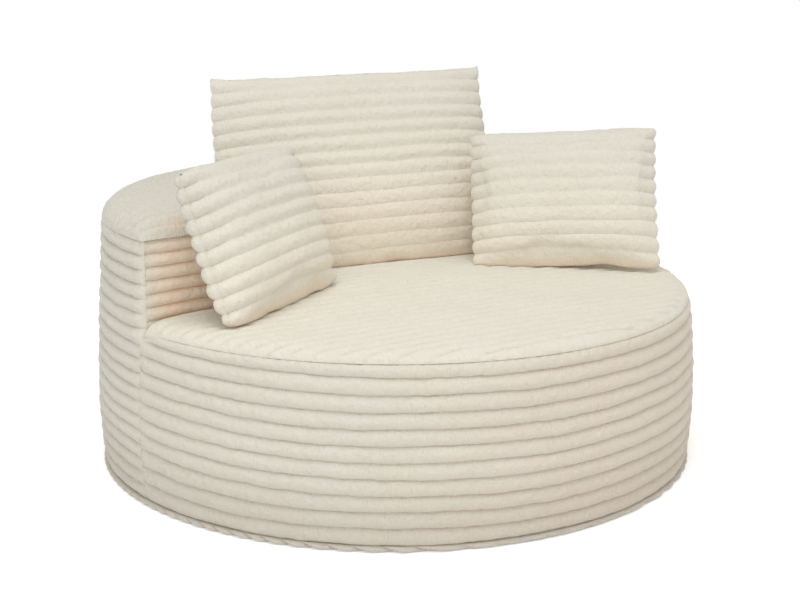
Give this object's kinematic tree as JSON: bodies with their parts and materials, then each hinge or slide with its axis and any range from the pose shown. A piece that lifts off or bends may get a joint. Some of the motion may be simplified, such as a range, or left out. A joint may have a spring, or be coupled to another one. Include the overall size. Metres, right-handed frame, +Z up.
{
  "type": "round armchair",
  "caption": "Low round lounge armchair: foam drum seat with a crescent back under a zipped cover of wide-ribbed plush, with loose zipped pillows that lift out.",
  "frame": {"origin": "centre of the chair's round underside, on the floor", "axes": "+Z up, +Y towards the middle of the back, the open front faces -Y"},
  "size_m": [1.2, 1.2, 0.7446],
  "materials": {
    "plush": "ivory wide-rib short-pile plush",
    "pillow_plush": "ivory wide-rib short-pile plush",
    "firm_foam": "open-cell foam, matt",
    "soft_foam": "open-cell foam, matt",
    "wadding": "loose white fibre sheet",
    "fibre_filling": "loose white fibre",
    "zip_tape": "woven tape",
    "zip_chain": "moulded coil, semi-matt",
    "zip_metal": "nickel plate"
  },
  "bodies": {
    "chair": {"bottom_panel": "plush", "base_foam": "firm_foam", "comfort_foam": "soft_foam", "seat_wadding": "wadding", "seat_panel": "plush", "front_wall_panel": "plush", "rear_wall_panel": "plush", "back_foam": "soft_foam", "back_wadding": "wadding", "back_inner_panel": "plush", "back_top_panel": "plush", "cover_zip_tape_lower": "zip_tape", "cover_zip_tape_upper": "zip_tape", "cover_zip_chain": "zip_chain"},
    "cover_zip_slider": {"cover_zip_slider": "zip_metal"},
    "cover_zip_tab": {"cover_zip_pull_tab": "zip_metal"},
    "big_pillow": {"big_pillow_front_panel": "pillow_plush", "big_pillow_rear_panel": "pillow_plush", "big_pillow_filling": "fibre_filling", "big_pillow_zip_chain": "zip_chain"},
    "big_pillow_slider": {"big_pillow_zip_slider": "zip_metal"},
    "big_pillow_tab": {"big_pillow_zip_pull_tab": "zip_metal"},
    "left_pillow": {"left_pillow_front_panel": "pillow_plush", "left_pillow_rear_panel": "pillow_plush", "left_pillow_filling": "fibre_filling", "left_pillow_zip_chain": "zip_chain"},
    "left_pillow_slider": {"left_pillow_zip_slider": "zip_metal"},
    "left_pillow_tab": {"left_pillow_zip_pull_tab": "zip_metal"},
    "right_pillow": {"right_pillow_front_panel": "pillow_plush", "right_pillow_rear_panel": "pillow_plush", "right_pillow_filling": "fibre_filling", "right_pillow_zip_chain": "zip_chain"},
    "right_pillow_slider": {"right_pillow_zip_slider": "zip_metal"},
    "right_pillow_tab": {"right_pillow_zip_pull_tab": "zip_metal"}
  },
  "joints": [
    {"name": "cover_zip_slide", "type": "hinge", "parent": "chair", "child": "cover_zip_slider", "pos_m": [0, 0, 0], "axis": [0, 0, 1], "range_deg": [0, 88]},
    {"name": "cover_zip_tab_swing", "type": "hinge", "parent": "cover_zip_slider", "child": "cover_zip_tab", "pos_m": [0.40884, 0.42337, 0.0238], "axis": [0, 0, -1], "range_deg": [0, 150]},
    {"name": "big_pillow_lift", "type": "slide", "parent": "chair", "child": "big_pillow", "axis": [-0.05, 0.16, 0.9859], "range_m": [0, 0.4]},
    {"name": "big_pillow_zip_slide", "type": "slide", "parent": "big_pillow", "child": "big_pillow_slider", "axis": [0.9976, -0.0698, 0], "range_m": [0, 0.26]},
    {"name": "big_pillow_tab_swing", "type": "hinge", "parent": "big_pillow_slider", "child": "big_pillow_tab", "pos_m": [-0.09792, 0.1886, 0.39933], "axis": [0.0437, 0.625, 0.7794], "range_deg": [0, 150]},
    {"name": "left_pillow_lift", "type": "slide", "parent": "chair", "child": "left_pillow", "axis": [0, 0, 1], "range_m": [0, 0.4]},
    {"name": "left_pillow_zip_slide", "type": "slide", "parent": "left_pillow", "child": "left_pillow_slider", "axis": [0.8387, 0.5446, 0], "range_m": [0, 0.151]},
    {"name": "left_pillow_tab_swing", "type": "hinge", "parent": "left_pillow_slider", "child": "left_pillow_tab", "pos_m": [-0.41559, -0.12575, 0.40276], "axis": [-0.2847, 0.4384, 0.8525], "range_deg": [0, 150]},
    {"name": "right_pillow_lift", "type": "slide", "parent": "chair", "child": "right_pillow", "axis": [0, 0, 1], "range_m": [0, 0.4]},
    {"name": "right_pillow_zip_slide", "type": "slide", "parent": "right_pillow", "child": "right_pillow_slider", "axis": [0.7843, -0.6192, 0.0382], "range_m": [0, 0.151]},
    {"name": "right_pillow_tab_swing", "type": "hinge", "parent": "right_pillow_slider", "child": "right_pillow_tab", "pos_m": [0.30894, -0.03889, 0.40645], "axis": [0.2793, 0.4074, 0.8695], "range_deg": [0, 150]}
  ]
}
